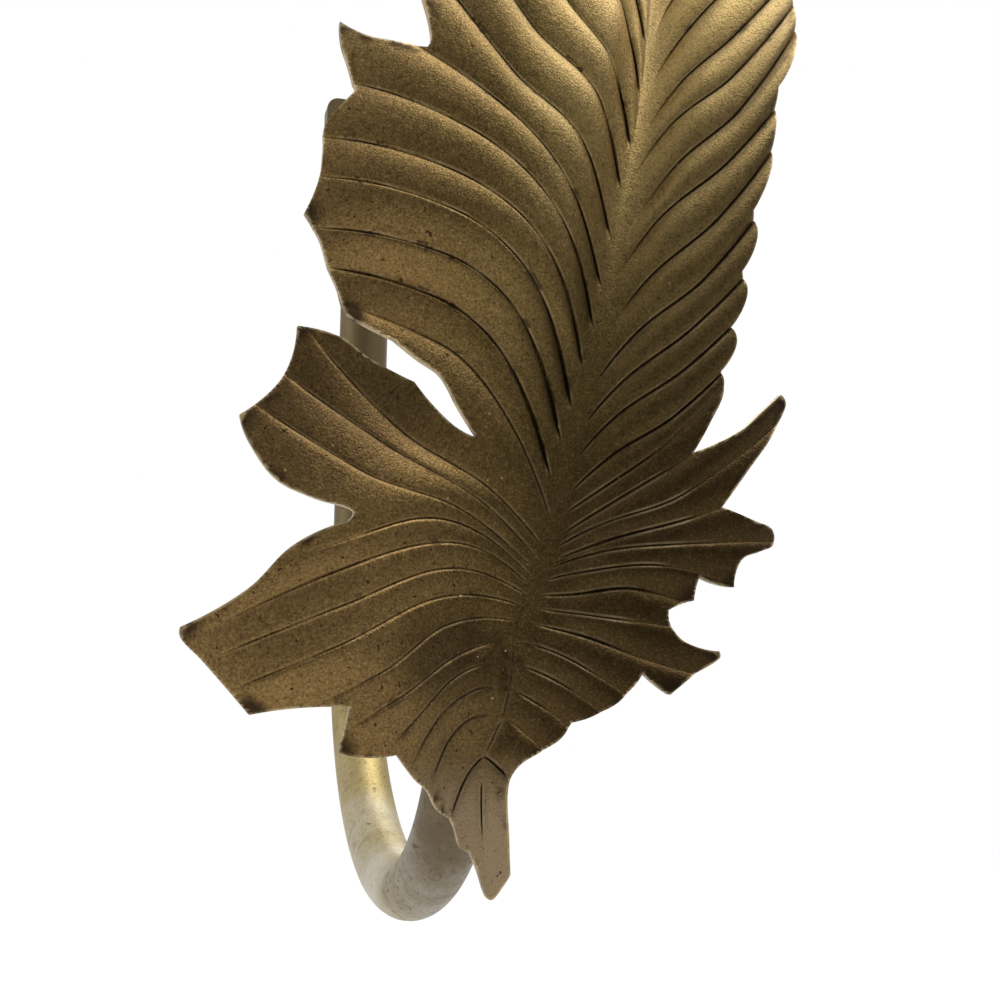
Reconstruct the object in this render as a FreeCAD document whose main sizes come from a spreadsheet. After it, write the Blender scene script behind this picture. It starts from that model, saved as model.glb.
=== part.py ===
# Curtain holdback: a pressed brass leaf brazed to a bent brass bar that hooks out from the wall.
# X runs to the right, the room lies toward minus Y and Z is up; millimetres throughout.
# The origin is the middle of the two screw holes, on the wall face of the bar's flattened end.

import os
from math import exp, hypot, pi

import FreeCAD
import Part
import Sketcher
from FreeCAD import Rotation, Vector

doc = FreeCAD.newDocument("curtain_holdback")
sheet = doc.addObject("Spreadsheet::Sheet", "Sizes")

SIZES = [
    ("bar_diameter", 10.0, "round bar that the hook is bent from"),
    ("bow_radius", 44.0, "bar centre line at the bottom of the hook"),
    ("hook_drop", 97.0, "from the screws down to the centre of the bow"),
    ("lug_width", 18.0, "wall end, hammered flat"),
    ("lug_thickness", 4.0, "wall end, hammered flat"),
    ("lug_above", 14.0, "flat end above the middle of the screws"),
    ("lug_below", 14.0, "flat end below the middle of the screws"),
    ("lug_corner", 2.5, "rounding of the flat end's top corners"),
    ("lug_taper", 18.0, "length over which the round bar spreads into the flat end"),
    ("screw_spacing", 16.0, "between the two screw holes, one above the other"),
    ("screw_hole", 4.5, "clearance hole"),
    ("screw_head", 9.0, "countersink at the front face"),
    ("seat_width", 14.0, "leaf end of the bar, hammered flat"),
    ("seat_thickness", 4.5, "leaf end of the bar, hammered flat"),
    ("seat_bottom", 8.0, "where the flat seat starts, above the bow centre"),
    ("seat_top", 20.0, "where the bar ends, above the bow centre"),
    ("seat_bite", 0.3, "how deep the leaf's back ridges are filed flat for the braze"),
    ("leaf_width", 85.0, "from the left lobe tip to the right edge"),
    ("leaf_height", 166.0, "from the stem tip to the leaf tip"),
    ("leaf_sheet", 1.0, "pressed sheet"),
    ("leaf_bulge", 6.5, "how far the halves stand in front of the midrib"),
    ("valley_width", 10.0, "how softly the halves rise beside the midrib"),
    ("arch_radius", 280.0, "how the leaf bends back toward its tip and stem"),
    ("droop_start", 18.0, "distance from the midrib at which the lobes start to bend back"),
    ("droop_radius", 60.0, "how the outer lobes bend back to the sides"),
    ("flat_half", 8.5, "half the width of the flat in the middle of the leaf"),
    ("rib_crown", 0.22, "height of a rib's crown as a share of its width"),
]
for row, (alias, value, note) in enumerate(SIZES, start=1):
    sheet.set("A%d" % row, alias)
    sheet.set("B%d" % row, str(value))
    sheet.set("C%d" % row, note)
    sheet.setAlias("B%d" % row, alias)
doc.recompute()


def size(alias):
    return float(sheet.get(alias))


def bind(obj, prop, formula):
    words = formula.split(" ")
    names = [alias for alias, value, note in SIZES]
    obj.setExpression(prop, " ".join("Sizes." + w if w in names else w for w in words))


# The bar: one PartDesign body

body = doc.addObject("PartDesign::Body", "arm_body")
body.Label = "arm"

# Sketches that stand in the plane of the hook: first axis to the room, second axis up
SIDE = Rotation(Vector(0, -1, 0), Vector(0, 0, 1), Vector(-1, 0, 0), "XYZ")
# Sketches that lie parallel to the wall, as seen from the room: first axis right, second axis up
FRONT = Rotation(Vector(1, 0, 0), Vector(0, 0, 1), Vector(0, -1, 0), "XYZ")


def sketch(name, turn, origin):
    made = body.newObject("Sketcher::SketchObject", name)
    made.Placement.Rotation = turn
    for axis, formula in zip("xyz", origin):
        bind(made, "Placement.Base." + axis, formula)
    return made


def rule(made, name, formula, *what):
    number = made.addConstraint(Sketcher.Constraint(*what))
    if name:
        made.renameConstraint(number, name)
        bind(made, "Constraints." + name, formula)


def outline(made, corners):
    # A closed outline of straight lines; each corner is (across, its formula, up, its formula)
    count = len(corners)
    for i in range(count):
        a = corners[i]
        b = corners[(i + 1) % count]
        made.addGeometry(Part.LineSegment(Vector(a[0], a[2], 0), Vector(b[0], b[2], 0)))
    for i in range(count):
        rule(made, "", "", "Coincident", i, 2, (i + 1) % count, 1)
    for i, (across, across_formula, up, up_formula) in enumerate(corners):
        ends = (-1, 1, i, 1) if across > 0 else (i, 1, -1, 1)
        rule(made, "corner%d_x" % i, across_formula, "DistanceX", *ends, abs(across))
        if up:
            ends = (-1, 1, i, 1) if up > 0 else (i, 1, -1, 1)
            rule(made, "corner%d_y" % i, up_formula, "DistanceY", *ends, abs(up))
        else:
            rule(made, "", "", "PointOnObject", i, 1, -1)


def edges_at(feature, place):
    # Names of the straight edges whose middle lies at the given place, across and up
    names = []
    for i, edge in enumerate(feature.Shape.Edges):
        middle = edge.CenterOfMass
        if edge.Vertexes[0].Point.distanceToPoint(edge.Vertexes[-1].Point) < 0.01:
            continue
        if abs(abs(middle.x) - place[0]) < 0.01 and abs(middle.z - place[1]) < 0.01:
            names.append("Edge%d" % (i + 1))
    return names


r = size("bar_diameter") / 2
bow = size("bow_radius")
drop = size("hook_drop")

below = size("lug_below")
above = size("lug_above")
half = size("lug_width") / 2
thin = size("lug_thickness")
leg = drop - below - size("lug_taper")

# The round bar: down the wall, then half a turn toward the room
path = sketch("arm_path", SIDE, ("0", "- bar_diameter / 2", "- hook_drop"))
path.addGeometry(Part.LineSegment(Vector(0, leg, 0), Vector(0, 0, 0)))
half_turn = Part.ArcOfCircle(Part.Circle(Vector(bow, 0, 0), Vector(0, 0, 1), bow), pi, 2 * pi)
path.addGeometry(half_turn)
rule(path, "", "", "Coincident", 0, 2, -1, 1)
rule(path, "", "", "Vertical", 0)
rule(path, "back_leg", "hook_drop - lug_below - lug_taper", "Distance", 0, leg)
rule(path, "", "", "Tangent", 0, 2, 1, 1)
rule(path, "bend", "bow_radius", "Radius", 1, bow)
rule(path, "", "", "PointOnObject", 1, 2, -1)


def round_section(name, origin):
    made = sketch(name, Rotation(), origin)
    made.addGeometry(Part.Circle(Vector(0, 0, 0), Vector(0, 0, 1), r))
    rule(made, "", "", "Coincident", 0, 3, -1, 1)
    rule(made, "round_bar", "bar_diameter", "Diameter", 0, 2 * r)
    return made


section = round_section("arm_section", ("0", "- bar_diameter / 2", "- lug_below - lug_taper"))
bar = body.newObject("PartDesign::AdditivePipe", "arm_bar")
bar.Profile = section
bar.Spine = (path, ["Edge1", "Edge2"])
doc.recompute()

# Wall end: the round bar spreads into a flat lug whose back lies on the wall
flat = sketch("lug_section", Rotation(), ("0", "0", "- lug_below"))
outline(flat, [
    (half, "lug_width / 2", 0, ""),
    (-half, "lug_width / 2", 0, ""),
    (-half, "lug_width / 2", -thin, "lug_thickness"),
    (half, "lug_width / 2", -thin, "lug_thickness"),
])
spread = body.newObject("PartDesign::AdditiveLoft", "lug_spread")
spread.Profile = section
spread.Sections = [flat]
doc.recompute()
lug = body.newObject("PartDesign::Pad", "lug_plate")
lug.Profile = flat
bind(lug, "Length", "lug_below + lug_above")
doc.recompute()

# Leaf end: the round bar spreads into a flat seat, flush with the front of the bar
low = size("seat_bottom")
top = size("seat_top")
wide = size("seat_width") / 2
seat_thin = size("seat_thickness")
front_end = round_section("seat_round", ("0", "- bow_radius * 2 - bar_diameter / 2", "- hook_drop"))
pad_face = sketch("seat_section", Rotation(), ("0", "- bow_radius * 2 - bar_diameter", "seat_bottom - hook_drop"))
outline(pad_face, [
    (wide, "seat_width / 2", seat_thin, "seat_thickness"),
    (-wide, "seat_width / 2", seat_thin, "seat_thickness"),
    (-wide, "seat_width / 2", 0, ""),
    (wide, "seat_width / 2", 0, ""),
])
seat_spread = body.newObject("PartDesign::AdditiveLoft", "seat_spread")
seat_spread.Profile = front_end
seat_spread.Sections = [pad_face]
doc.recompute()
seat = body.newObject("PartDesign::Pad", "seat_plate")
seat.Profile = pad_face
bind(seat, "Length", "seat_top - seat_bottom")
doc.recompute()

# Rounded top corners of both flat ends
rounded = body.newObject("PartDesign::Fillet", "end_corners")
corner_edges = edges_at(seat, (half, above)) + edges_at(seat, (wide, top - drop))
rounded.Base = (seat, corner_edges)
bind(rounded, "Radius", "lug_corner")
doc.recompute()

# Two screw holes, one above the other, countersunk from the room
holes = sketch("screw_holes", FRONT, ("0", "0", "0"))
gap = size("screw_spacing") / 2
for i, place in enumerate((-gap, gap)):
    holes.addGeometry(Part.Circle(Vector(0, place, 0), Vector(0, 0, 1), size("screw_hole") / 2))
    rule(holes, "", "", "PointOnObject", i, 3, -2)
    rule(holes, "screw%d" % i, "screw_hole", "Diameter", i, size("screw_hole"))
rule(holes, "lower", "screw_spacing / 2", "DistanceY", 0, 3, -1, 1, gap)
rule(holes, "upper", "screw_spacing / 2", "DistanceY", -1, 1, 1, 3, gap)
drilled = body.newObject("PartDesign::Pocket", "screw_holes_cut")
drilled.Profile = holes
drilled.Midplane = True
bind(drilled, "Length", "lug_thickness * 4")
doc.recompute()

for name, place in (("lower", "- screw_spacing / 2"), ("upper", "screw_spacing / 2")):
    sink = body.newObject("PartDesign::SubtractiveCone", "countersink_" + name)
    sink.Placement.Rotation = Rotation(Vector(1, 0, 0), -90)
    bind(sink, "Placement.Base.y", "- lug_thickness")
    bind(sink, "Placement.Base.z", place)
    bind(sink, "Radius1", "screw_head / 2")
    bind(sink, "Radius2", "screw_hole / 2")
    bind(sink, "Height", "( screw_head - screw_hole ) / 2")
    doc.recompute()
arm = body

# The leaf: every line is drawn as seen from the room, by four points that it passes through.
# Each row has the line on the left of the midrib and the line on the right; both start on the midrib.
# Lines run on past the rim, which is cut afterwards. Heights are counted from the bow centre.

TIP_LINE = ((30, 110), (30.8, 118), (32, 126.5), (33.5, 136))
STEM_LINE = ((-0.4, -22), (-0.2, -27), (0.6, -33), (1.9, -41))
VEINS = [
    (((28.7, 103), (27, 110.5), (23.5, 119), (20, 129)), ((28.7, 103), (32, 109.5), (36, 117), (39.5, 126))),
    (((26.8, 95), (24.3, 103), (18.5, 112.5), (13, 124)),
     ((26.8, 95), (31.5, 102), (37.5, 110), (43.5, 119))),
    (((25.2, 86), (22, 94.5), (14.5, 104), (7, 118)), ((25.2, 86), (30, 93), (37.5, 102), (46.5, 111))),
    (((23.5, 77), (20.5, 86.5), (12, 95), (1.5, 112)), ((23.5, 77), (28.8, 83.5), (36.5, 93), (48, 104))),
    (((21.5, 67.5), (18.3, 76), (9.5, 84.5), (-2, 104)), ((21.5, 67.5), (28, 76), (36, 84), (47.5, 97.5))),
    (((19.7, 60), (15.3, 71), (4, 79.2), (-6, 97)), ((19.7, 60), (26, 69), (35, 77), (48.5, 94))),
    (((18, 52.5), (12.5, 63.8), (1, 71.8), (-12.5, 92)), ((18, 52.5), (26, 62.3), (35.5, 71.5), (48, 90))),
    (((16.7, 44.5), (11, 55.8), (-1, 66.7), (-25, 81)), ((16.7, 44.5), (23, 53.8), (33, 63), (44, 76.5))),
    (((15.3, 37.5), (9.5, 51), (-4, 61.7), (-28, 69.5)), ((15.3, 37.5), (21.5, 45.3), (31, 54.3), (42, 69))),
    (((14, 31.5), (7.5, 46.2), (-6, 55.6), (-30, 60.3)), ((14, 31.5), (20, 37.8), (28.5, 45.2), (38.5, 58))),
    (((12.2, 25), (6.5, 40.5), (-6, 50.2), (-31, 54.3)), ((12.2, 25), (18, 30.9), (26.5, 38), (37, 49))),
    (((10.8, 20), (4.5, 36.3), (-7, 44.9), (-31, 47)), ((10.8, 20), (17, 26), (25.5, 32.4), (35.5, 42.4))),
    (((9.6, 15.5), (2.8, 31), (-7.5, 39.7), (-29, 42.3)), ((9.6, 15.5), (16.3, 20.6), (24, 25.9), (34, 36))),
    (((8.4, 11.3), (1.8, 25.3), (-7, 33.9), (-27.5, 38.3)),
     ((8.4, 11.3), (14.8, 16), (23, 22.3), (34.5, 34.5))),
    (((7.3, 8), (-0.5, 15.5), (-13, 22.3), (-26.5, 36)), ((7.3, 8), (15.5, 13.8), (26.2, 21), (42, 34))),
    (((6.8, 6.3), (-2, 13.8), (-15, 20), (-31, 30.5)), ((6.8, 6.3), (14, 11), (24, 15), (41, 27.6))),
    (((6.3, 5), (-4.5, 12.3), (-18, 16.2), (-36, 28)), ((6.3, 5), (15, 9), (25, 12), (41, 17.5))),
    (((5.9, 3.9), (-7, 10.9), (-22, 6.8), (-41, 0)), ((5.9, 3.9), (14, 7.5), (24, 8.7), (41, 9.6))),
    (((5.6, 2.9), (-5, 8), (-20, 4.2), (-40.5, -6.5)), ((5.6, 2.9), (12.5, 5), (22, 5.8), (35, 2.2))),
    (((5.2, 1.7), (-6, 4.8), (-20, -0.2), (-39, -8.5)), ((5.2, 1.7), (11, 2), (18.5, 2.8), (29, -0.6))),
    (((4.7, 0.3), (-7, 1.2), (-20, -4.7), (-37, -12)), ((4.7, 0.3), (11, -0.5), (20, -1.7), (32.5, -3.4))),
    (((3.9, -1.6), (-6, -2.2), (-15, -8), (-32, -15.5)), ((3.9, -1.6), (12, -3.4), (20.5, -6.6), (32, -9.3))),
    (((3.4, -4), (-4.5, -6), (-12, -10.7), (-23.5, -17.2)),
     ((3.4, -4), (9.5, -6), (15.8, -10.1), (23, -15.5))),
    (((3.3, -7), (-4, -8.2), (-10.3, -13.7), (-18, -21.5)),
     ((3.3, -7), (8, -8.8), (12.5, -11.9), (17, -16.5))),
    (((3, -10.3), (-2.5, -10.6), (-7.7, -14.5), (-12.5, -24)),
     ((3, -10.3), (6, -11.8), (9, -14), (13, -18.5))),
    (((2.2, -13.7), (-2.7, -14.2), (-6, -17.8), (-9, -27)),
     ((2.2, -13.7), (4.2, -15.2), (6.9, -18), (10, -22.5))),
    (((-0.2, -18.8), (-2, -20.6), (-3.6, -23.4), (-6.5, -31.5)),
     ((-0.2, -18.8), (1.2, -19.8), (3.2, -21.9), (7.5, -30))),
]

# The rim, from the tip down the left side, around the stem and up the right side. Each row runs from
# one corner to the next, and its points lie on one smooth curve.
RIM = [
    ((33, 129), (22, 122.5), (14, 115.5), (9, 109.5)),
    ((9, 109.5), (4, 107.5), (-1.5, 107)),
    ((-1.5, 107), (-2.7, 101), (-3, 95.9)),
    ((-3, 95.9), (-9, 94.8), (-14.5, 94.2)),
    ((-14.5, 94.2), (-12.2, 86), (-10.8, 80.4), (-9.8, 75), (-10.3, 73.4)),
    ((-10.3, 73.4), (-15, 74), (-18, 74.7), (-21.3, 77.1)),
    ((-21.3, 77.1), (-21.2, 73.5), (-20.3, 70), (-19.4, 66.4)),
    ((-19.4, 66.4), (-21, 64.5), (-23.1, 61.7), (-23.4, 58), (-23.8, 54), (-25.5, 49.2)),
    ((-25.5, 49.2), (-23.5, 45.8), (-22.3, 42.5), (-20.9, 39.4), (-19.8, 36.4)),
    ((-19.8, 36.4), (-17, 35.1), (-13.7, 33.8)),
    ((-13.7, 33.8), (-10.5, 31.5), (-7.4, 29.6), (-5, 25.7), (-2.3, 21.9)),
    ((-2.3, 21.9), (-6, 23.5), (-11, 28.4)),
    ((-11, 28.4), (-17, 31), (-20.5, 33.3), (-26, 34.2)),
    ((-26, 34.2), (-26.7, 29.8), (-28.6, 26.2), (-32.6, 22.6)),
    ((-32.6, 22.6), (-31.4, 19.1), (-28.2, 14.6), (-23.5, 12.4), (-19.8, 11.5), (-19, 10.8), (-20.2, 9.7)),
    ((-20.2, 9.7), (-26.2, 6.7), (-31, 1.6), (-38.4, -3)),
    ((-38.4, -3), (-38.3, -4.3), (-36, -6.7), (-33.4, -9.6), (-30.4, -13)),
    ((-30.4, -13), (-25, -12.2), (-18.9, -12.1)),
    ((-18.9, -12.1), (-19.3, -14.5), (-20, -17.4)),
    ((-20, -17.4), (-16.5, -18.1), (-12.7, -17.9)),
    ((-12.7, -17.9), (-10, -21.1), (-8.2, -22.6), (-6.8, -24.9), (-4.7, -26.3)),
    ((-4.7, -26.3), (-3.9, -28), (-3.2, -29.9), (-1.8, -30.7)),
    ((-1.8, -30.7), (-0.5, -33.2), (0.9, -36.6), (1.6, -37), (2.3, -36.4), (3.8, -33.8)),
    ((3.8, -33.8), (3.4, -29), (3, -23), (4, -20), (7, -17.9), (9, -16.4), (10.4, -14.4)),
    ((10.4, -14.4), (13, -13.4), (16, -11.5), (18.8, -8)),
    ((18.8, -8), (20.4, -9.5), (22.2, -10.7)),
    ((22.2, -10.7), (25.5, -8.3), (29.5, -6), (29.4, -5.1)),
    ((29.4, -5.1), (24.5, -4), (22.7, -1.9), (22.5, 0.1)),
    ((22.5, 0.1), (24, 0.8), (26.1, 1.4)),
    ((26.1, 1.4), (26.2, 3.2), (26.6, 4.5)),
    ((26.6, 4.5), (29, 3.6), (31.8, 3.3)),
    ((31.8, 3.3), (32.5, 6.8), (35.5, 8.1), (38.1, 9.3), (37.6, 11.2), (34.8, 12.1), (29.9, 13.8)),
    ((29.9, 13.8), (33.6, 18.9), (37.4, 23.7), (39.9, 28.2), (39, 29.6)),
    ((39, 29.6), (35.9, 27), (32.5, 24.1), (26.2, 21)),
    ((26.2, 21), (28.5, 25.1), (30.6, 29.5), (30.3, 32.3)),
    ((30.3, 32.3), (32.3, 35.8), (31.9, 38.5)),
    ((31.9, 38.5), (34.1, 43), (33.6, 46.5)),
    ((33.6, 46.5), (35.9, 51.5), (35.6, 55.5)),
    ((35.6, 55.5), (38.6, 62), (40.3, 70), (41, 75.3)),
    ((41, 75.3), (44.2, 81), (46.1, 89)),
    ((46.1, 89), (45.3, 99), (42, 111), (37.5, 121.5), (33, 129)),
]
DRAWN_WIDTH = 85.0
DRAWN_HEIGHT = 166.0
# The flat in the middle of the leaf where the seat is brazed, from end to end
FLAT = ((1, 6), (2, 30))


def away(x, z, a, b):
    # Distance of a point from a straight stretch
    dx = b[0] - a[0]
    dz = b[1] - a[1]
    t = ((x - a[0]) * dx + (z - a[1]) * dz) / (dx * dx + dz * dz)
    t = min(1.0, max(0.0, t))
    return hypot(x - a[0] - t * dx, z - a[1] - t * dz)


SPINE = [STEM_LINE[3]] + [right[0] for left, right in reversed(VEINS)] + [TIP_LINE[0], TIP_LINE[3]]


def stand(x, z):
    # How far the sheet's front stands from the axis of the bar's back leg
    rib = min(away(x, z, a, b) for a, b in zip(SPINE[:-1], SPINE[1:]))
    flat = max(0.0, away(x, z, FLAT[0], FLAT[1]) - size("flat_half"))
    rise = size("leaf_bulge") * (1 - exp(-(min(rib, flat) / size("valley_width")) ** 2))
    bend = max(0.0, z - FLAT[1][1], -z) ** 2 / (2 * size("arch_radius"))
    droop = max(0.0, rib - size("droop_start")) ** 2 / (2 * size("droop_radius"))
    return 2 * bow + r - size("seat_bite") + size("leaf_sheet") + rise - bend - droop


def spot(point):
    # A drawn point in its place on the leaf
    x, z = point
    mid = (FLAT[0][1] + FLAT[1][1]) / 2
    wide_by = size("leaf_width") / DRAWN_WIDTH
    tall_by = size("leaf_height") / DRAWN_HEIGHT
    return Vector(x * wide_by, -r - stand(x, z), mid + (z - mid) * tall_by - drop)


def poles(line):
    # The four poles of the cubic that passes through the line's four points
    a, b, c, d = [spot(p) for p in line]
    second = (b * 18 - a * 5 - c * 9 + d * 2) / 6
    third = (a * 2 - b * 9 + c * 18 - d * 5) / 6
    # Neither inner pole lies behind both ends, so that no line dips toward the seat
    hindmost = max(a.y, d.y)
    second.y = min(second.y, hindmost)
    third.y = min(third.y, hindmost)
    return [a, second, third, d]


def rib(first, second):
    # One convex rib between two lines
    rows = []
    for a, b in zip(first, second):
        lift = Vector(0, -size("rib_crown") * (b - a).Length, 0)
        rows.append([a, (a + b) / 2 + lift, b])
    made = Part.BSplineSurface()
    made.buildFromPolesMultsKnots(rows, [4, 4], [3, 3], [0, 1], [0, 1], False, False, 3, 2)
    return made


through = Vector(0, size("leaf_sheet"), 0)
faces = []
for side in (0, 1):
    lines = [poles(TIP_LINE)] + [poles(pair[side]) for pair in VEINS] + [poles(STEM_LINE)]
    for first, second in zip(lines[:-1], lines[1:]):
        surface = rib(first, second)
        front_face = surface.toShape()
        faces.append(front_face)
        faces.append(front_face.translated(through))
        faces.append(surface.uIso(1).toShape().extrude(through))
shell = Part.makeShell(faces)
shell.sewShape()
form = doc.addObject("Part::Feature", "leaf_form")
form.Shape = Part.makeSolid(shell)

rim_edges = []
back_of = Vector(0, -r - bow, 0)
for stretch in RIM:
    points = [spot(p) for p in stretch]
    points = [Vector(p.x, back_of.y, p.z) for p in points]
    curve = Part.BSplineCurve()
    curve.interpolate(points)
    rim_edges.append(curve.toShape())
rim = doc.addObject("Part::Feature", "leaf_rim")
rim.Shape = Part.Wire(rim_edges)
blank = doc.addObject("Part::Extrusion", "leaf_blank")
blank.Base = rim
blank.DirMode = "Custom"
blank.Dir = Vector(0, -1, 0)
blank.Solid = True
bind(blank, "LengthFwd", "bow_radius * 2")
doc.recompute()
trimmed = doc.addObject("Part::MultiCommon", "leaf_trimmed")
trimmed.Shapes = [form, blank]
doc.recompute()

# The seat's flat on the leaf's back
file_cut = doc.addObject("Part::Box", "leaf_seat_flat")
bind(file_cut, "Length", "seat_width + 1")
bind(file_cut, "Width", "bar_diameter")
bind(file_cut, "Height", "seat_top + 1")
bind(file_cut, "Placement.Base.x", "- seat_width / 2 - 0.5")
bind(file_cut, "Placement.Base.y", "- bow_radius * 2 - bar_diameter")
bind(file_cut, "Placement.Base.z", "- hook_drop - 0.5")
leaf = doc.addObject("Part::Cut", "leaf_cut")
leaf.Base = trimmed
leaf.Tool = file_cut
leaf.Label = "leaf"
doc.recompute()

os.makedirs("parts", exist_ok=True)
for obj in doc.Objects:
    if "Invalid" in obj.State or "Error" in obj.State:
        raise SystemExit("not built: " + obj.Label)
for obj in (arm, leaf):
    if obj.Shape.isNull() or not obj.Shape.isValid() or len(obj.Shape.Solids) != 1:
        raise SystemExit("no sound solid: " + obj.Label)
    obj.Shape.exportStep("parts/" + obj.Label + ".step")
    print(obj.Label, round(obj.Shape.Volume, 1), obj.Shape.BoundBox)
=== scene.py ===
"""Curtain holdback: looks for the pressed brass leaf and the bent brass bar that carries it."""

from math import cos, exp, hypot, pi, radians

import bmesh
import bpy
from bpy.props import FloatProperty, FloatVectorProperty, PointerProperty
from mathutils import Matrix, Vector
from mathutils.geometry import interpolate_bezier
from mathutils.kdtree import KDTree


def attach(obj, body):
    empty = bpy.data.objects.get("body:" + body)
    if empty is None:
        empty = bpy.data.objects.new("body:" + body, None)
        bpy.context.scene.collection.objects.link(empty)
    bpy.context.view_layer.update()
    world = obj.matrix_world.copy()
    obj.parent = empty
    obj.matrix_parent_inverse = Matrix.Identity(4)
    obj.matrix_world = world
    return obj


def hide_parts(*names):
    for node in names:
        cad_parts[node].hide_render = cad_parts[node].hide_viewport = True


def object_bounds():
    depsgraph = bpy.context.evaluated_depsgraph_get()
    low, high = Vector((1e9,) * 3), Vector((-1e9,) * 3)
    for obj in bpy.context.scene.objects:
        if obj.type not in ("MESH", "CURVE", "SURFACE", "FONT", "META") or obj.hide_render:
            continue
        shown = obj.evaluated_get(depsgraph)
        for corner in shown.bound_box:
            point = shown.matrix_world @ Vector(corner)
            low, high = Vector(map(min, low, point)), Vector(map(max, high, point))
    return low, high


bl_info = {
    "name": "Curtain Holdback",
    "version": (1, 0, 0),
    "blender": (4, 5, 0),
    "location": "3D View > Sidebar > Holdback",
    "description": "Chased brass leaf, satin brass bar and a plain studio for a curtain holdback",
    "category": "Object",
}

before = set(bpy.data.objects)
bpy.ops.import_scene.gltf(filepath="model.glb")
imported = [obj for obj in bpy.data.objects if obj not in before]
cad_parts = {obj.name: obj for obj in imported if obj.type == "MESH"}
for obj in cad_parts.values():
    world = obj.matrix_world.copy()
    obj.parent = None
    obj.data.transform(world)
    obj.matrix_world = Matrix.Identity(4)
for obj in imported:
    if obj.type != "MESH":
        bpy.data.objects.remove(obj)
CAD_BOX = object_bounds()
MM = 0.001

# The leaf as drawn from the room, in millimetres: across, and up from the centre of the bar's bow.
# Each line runs from the midrib past the rim through four points, first on the left, then on the right.
TIP_LINE = ((30, 110), (30.8, 118), (32, 126.5), (33.5, 136))
STEM_LINE = ((-0.4, -22), (-0.2, -27), (0.6, -33), (1.9, -41))
VEINS = (
    (((28.7, 103), (27, 110.5), (23.5, 119), (20, 129)), ((28.7, 103), (32, 109.5), (36, 117), (39.5, 126))),
    (((26.8, 95), (24.3, 103), (18.5, 112.5), (13, 124)),
     ((26.8, 95), (31.5, 102), (37.5, 110), (43.5, 119))),
    (((25.2, 86), (22, 94.5), (14.5, 104), (7, 118)), ((25.2, 86), (30, 93), (37.5, 102), (46.5, 111))),
    (((23.5, 77), (20.5, 86.5), (12, 95), (1.5, 112)), ((23.5, 77), (28.8, 83.5), (36.5, 93), (48, 104))),
    (((21.5, 67.5), (18.3, 76), (9.5, 84.5), (-2, 104)), ((21.5, 67.5), (28, 76), (36, 84), (47.5, 97.5))),
    (((19.7, 60), (15.3, 71), (4, 79.2), (-6, 97)), ((19.7, 60), (26, 69), (35, 77), (48.5, 94))),
    (((18, 52.5), (12.5, 63.8), (1, 71.8), (-12.5, 92)), ((18, 52.5), (26, 62.3), (35.5, 71.5), (48, 90))),
    (((16.7, 44.5), (11, 55.8), (-1, 66.7), (-25, 81)), ((16.7, 44.5), (23, 53.8), (33, 63), (44, 76.5))),
    (((15.3, 37.5), (9.5, 51), (-4, 61.7), (-28, 69.5)), ((15.3, 37.5), (21.5, 45.3), (31, 54.3), (42, 69))),
    (((14, 31.5), (7.5, 46.2), (-6, 55.6), (-30, 60.3)), ((14, 31.5), (20, 37.8), (28.5, 45.2), (38.5, 58))),
    (((12.2, 25), (6.5, 40.5), (-6, 50.2), (-31, 54.3)), ((12.2, 25), (18, 30.9), (26.5, 38), (37, 49))),
    (((10.8, 20), (4.5, 36.3), (-7, 44.9), (-31, 47)), ((10.8, 20), (17, 26), (25.5, 32.4), (35.5, 42.4))),
    (((9.6, 15.5), (2.8, 31), (-7.5, 39.7), (-29, 42.3)), ((9.6, 15.5), (16.3, 20.6), (24, 25.9), (34, 36))),
    (((8.4, 11.3), (1.8, 25.3), (-7, 33.9), (-27.5, 38.3)),
     ((8.4, 11.3), (14.8, 16), (23, 22.3), (34.5, 34.5))),
    (((7.3, 8), (-0.5, 15.5), (-13, 22.3), (-26.5, 36)), ((7.3, 8), (15.5, 13.8), (26.2, 21), (42, 34))),
    (((6.8, 6.3), (-2, 13.8), (-15, 20), (-31, 30.5)), ((6.8, 6.3), (14, 11), (24, 15), (41, 27.6))),
    (((6.3, 5), (-4.5, 12.3), (-18, 16.2), (-36, 28)), ((6.3, 5), (15, 9), (25, 12), (41, 17.5))),
    (((5.9, 3.9), (-7, 10.9), (-22, 6.8), (-41, 0)), ((5.9, 3.9), (14, 7.5), (24, 8.7), (41, 9.6))),
    (((5.6, 2.9), (-5, 8), (-20, 4.2), (-40.5, -6.5)), ((5.6, 2.9), (12.5, 5), (22, 5.8), (35, 2.2))),
    (((5.2, 1.7), (-6, 4.8), (-20, -0.2), (-39, -8.5)), ((5.2, 1.7), (11, 2), (18.5, 2.8), (29, -0.6))),
    (((4.7, 0.3), (-7, 1.2), (-20, -4.7), (-37, -12)), ((4.7, 0.3), (11, -0.5), (20, -1.7), (32.5, -3.4))),
    (((3.9, -1.6), (-6, -2.2), (-15, -8), (-32, -15.5)), ((3.9, -1.6), (12, -3.4), (20.5, -6.6), (32, -9.3))),
    (((3.4, -4), (-4.5, -6), (-12, -10.7), (-23.5, -17.2)),
     ((3.4, -4), (9.5, -6), (15.8, -10.1), (23, -15.5))),
    (((3.3, -7), (-4, -8.2), (-10.3, -13.7), (-18, -21.5)),
     ((3.3, -7), (8, -8.8), (12.5, -11.9), (17, -16.5))),
    (((3, -10.3), (-2.5, -10.6), (-7.7, -14.5), (-12.5, -24)),
     ((3, -10.3), (6, -11.8), (9, -14), (13, -18.5))),
    (((2.2, -13.7), (-2.7, -14.2), (-6, -17.8), (-9, -27)),
     ((2.2, -13.7), (4.2, -15.2), (6.9, -18), (10, -22.5))),
    (((-0.2, -18.8), (-2, -20.6), (-3.6, -23.4), (-6.5, -31.5)),
     ((-0.2, -18.8), (1.2, -19.8), (3.2, -21.9), (7.5, -30))),
)
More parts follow.
